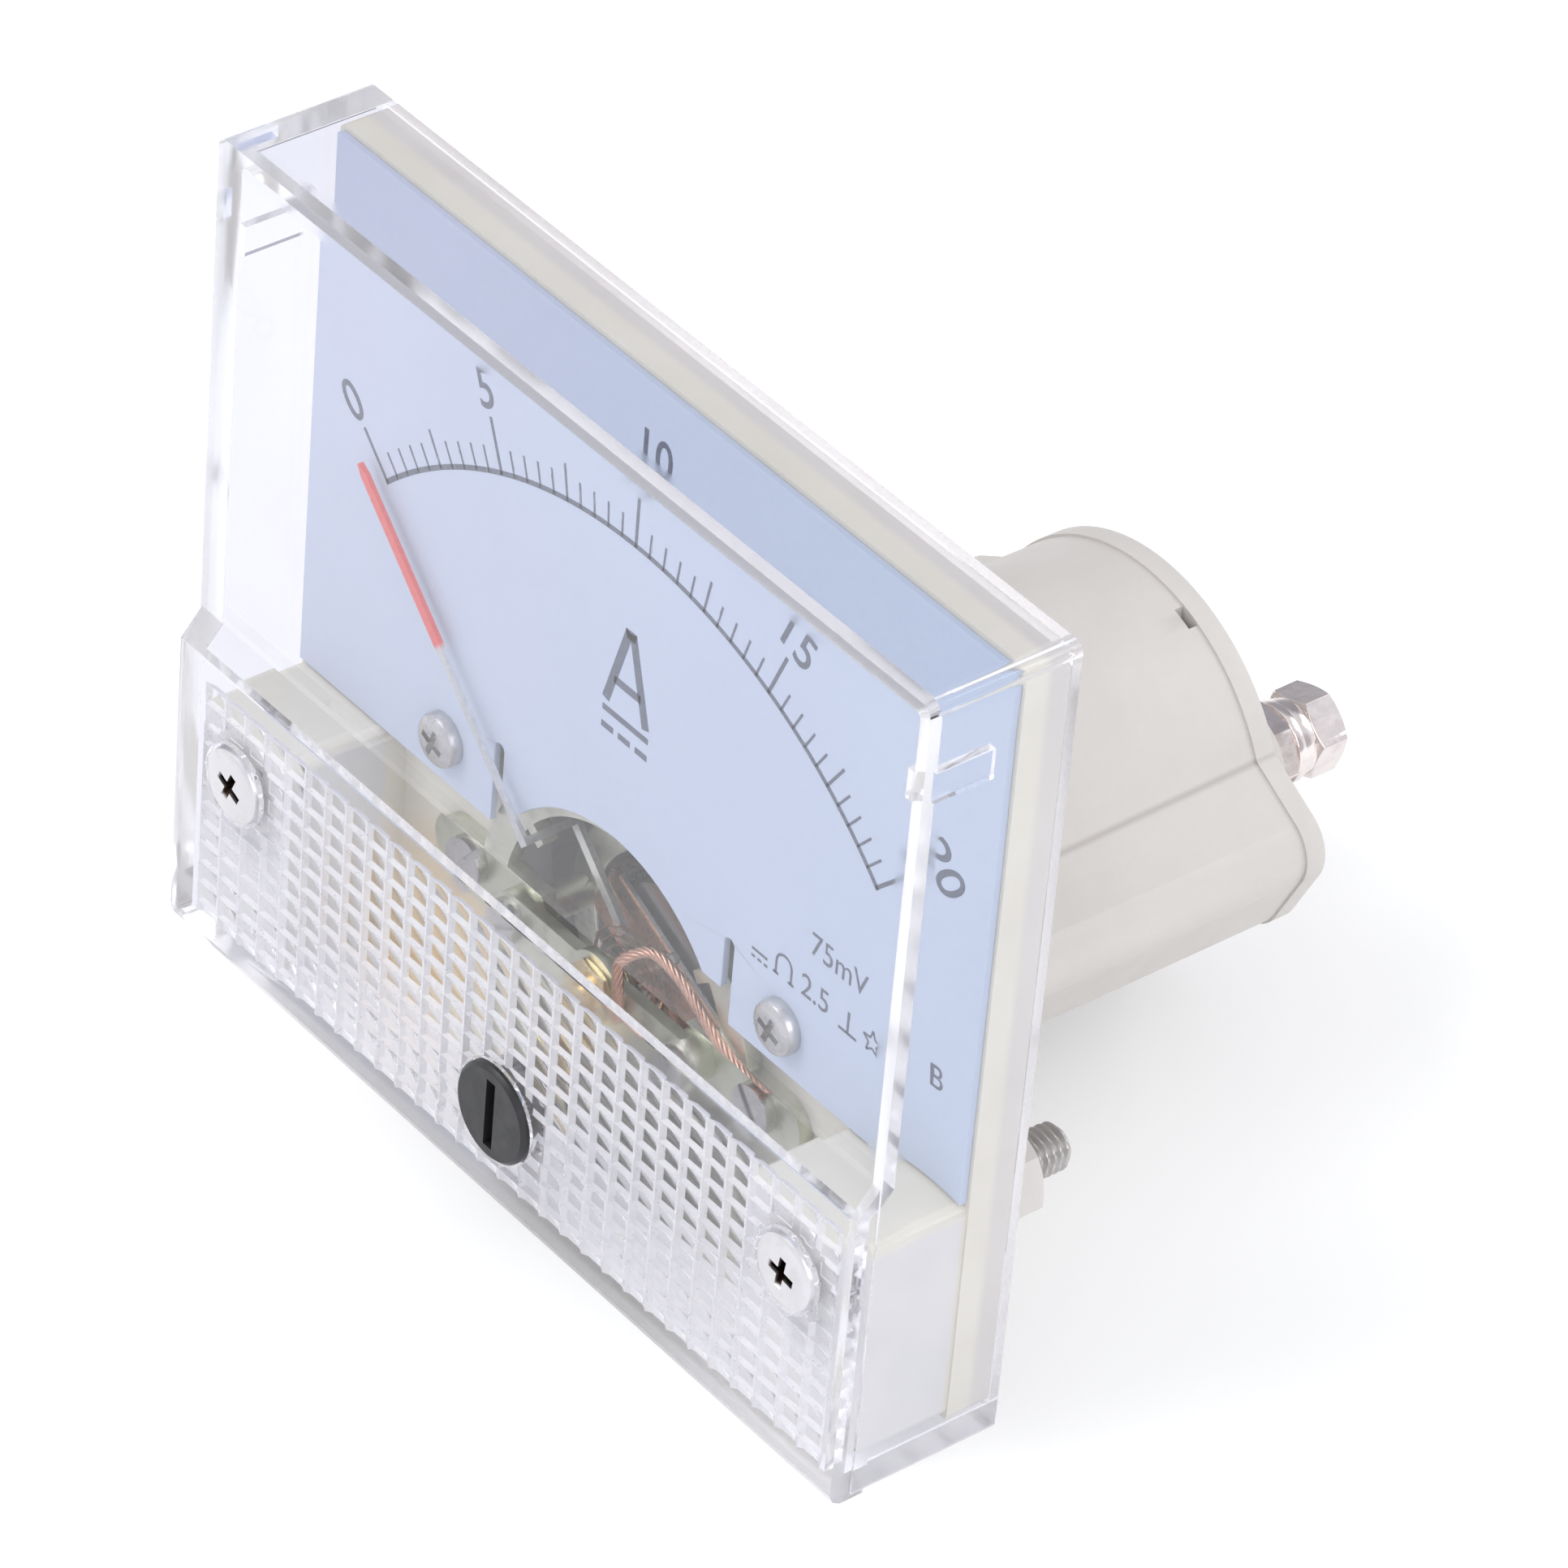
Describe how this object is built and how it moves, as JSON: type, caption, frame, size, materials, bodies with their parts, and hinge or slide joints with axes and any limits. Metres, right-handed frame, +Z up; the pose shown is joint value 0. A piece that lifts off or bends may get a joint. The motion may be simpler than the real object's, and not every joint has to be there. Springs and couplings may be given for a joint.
{
  "type": "analog panel meter",
  "caption": "Moving-coil panel meter with a clear stepped front, fan-shaped scale, red pointer, zero adjuster and a round rear body with screw terminals.",
  "frame": {"origin": "midway between the two mounting screws, on the back face of the flange, which is the face that meets the panel", "axes": "+X to the right seen from the front, +Y towards the rear along the screws and the rear body, +Z up"},
  "size_m": [0.064, 0.0573, 0.056],
  "materials": {
    "housing": "moulded off-white plastic, satin",
    "clear_cover": "clear moulded plastic, polished",
    "dial": "pale blue-white matt paint on sheet aluminium",
    "steel": "zinc plated steel",
    "nickel": "nickel plated brass",
    "nylon": "white nylon",
    "iron": "soft iron, bright oxide",
    "magnet": "ground magnet alloy",
    "frame_alloy": "die-cast alloy, as cast",
    "brass": "turned brass",
    "aluminium": "thin sheet aluminium",
    "copper": "enamelled copper wire",
    "bronze": "phosphor bronze strip",
    "black_plastic": "black moulded plastic",
    "pointer_paint": "thin aluminium, red paint on the outer third",
    "bobbin": "natural moulded plastic",
    "red_insulation": "red insulated wire",
    "black_insulation": "black insulated wire"
  },
  "bodies": {
    "case": {"base_housing": "housing", "rear_cap": "housing", "front_cover": "clear_cover", "dial_plate": "dial", "dial_screws": "steel", "case_screws": "steel", "mounting_washers": "nylon", "mounting_nuts": "nylon", "movement_frame": "frame_alloy", "movement_screws": "steel", "yoke_ring": "iron", "core_magnet": "magnet", "core_supports": "brass", "front_bridge": "frame_alloy", "rear_bridge": "frame_alloy", "front_bridge_screws": "steel", "rear_bridge_screws": "steel", "front_jewel_screw": "brass", "rear_jewel_screw": "brass", "jewel_lock_nuts": "brass", "rear_hairspring": "bronze", "terminal_studs": "nickel", "terminal_lock_nuts": "nickel", "terminal_flat_washers": "nickel", "terminal_spring_washers": "nickel", "terminal_nuts": "nickel", "resistor_bobbin": "bobbin", "resistor_winding": "copper", "front_lead": "copper", "supply_lead": "red_insulation", "return_lead": "black_insulation"},
    "moving_element": {"coil_former": "aluminium", "moving_coil": "copper", "front_staff": "steel", "rear_staff": "steel", "spring_collets": "brass", "pointer": "pointer_paint", "balance_weights": "steel"},
    "zero_arm": {"zero_lever": "brass", "front_hairspring": "bronze"},
    "zero_screw": {"zero_adjuster": "black_plastic"}
  },
  "joints": [
    {"name": "pointer_swing", "type": "hinge", "parent": "case", "child": "moving_element", "pos_m": [0, 0, -0.001], "axis": [0, 1, 0], "range_deg": [-1, 93], "stiffness_Nm_per_rad": 0.00004},
    {"name": "zero_screw_turn", "type": "hinge", "parent": "case", "child": "zero_screw", "pos_m": [0, -0.0115, -0.0068], "axis": [0, 1, 0], "range_deg": [-40, 40]},
    {"name": "zero_arm_turn", "type": "hinge", "parent": "case", "child": "zero_arm", "pos_m": [0, 0, -0.001], "axis": [0, 1, 0], "range_deg": [-7, 7]}
  ],
  "couplings": [
    {"joint": "zero_arm_turn", "follows": "zero_screw_turn", "ratio": 0.17143}
  ]
}
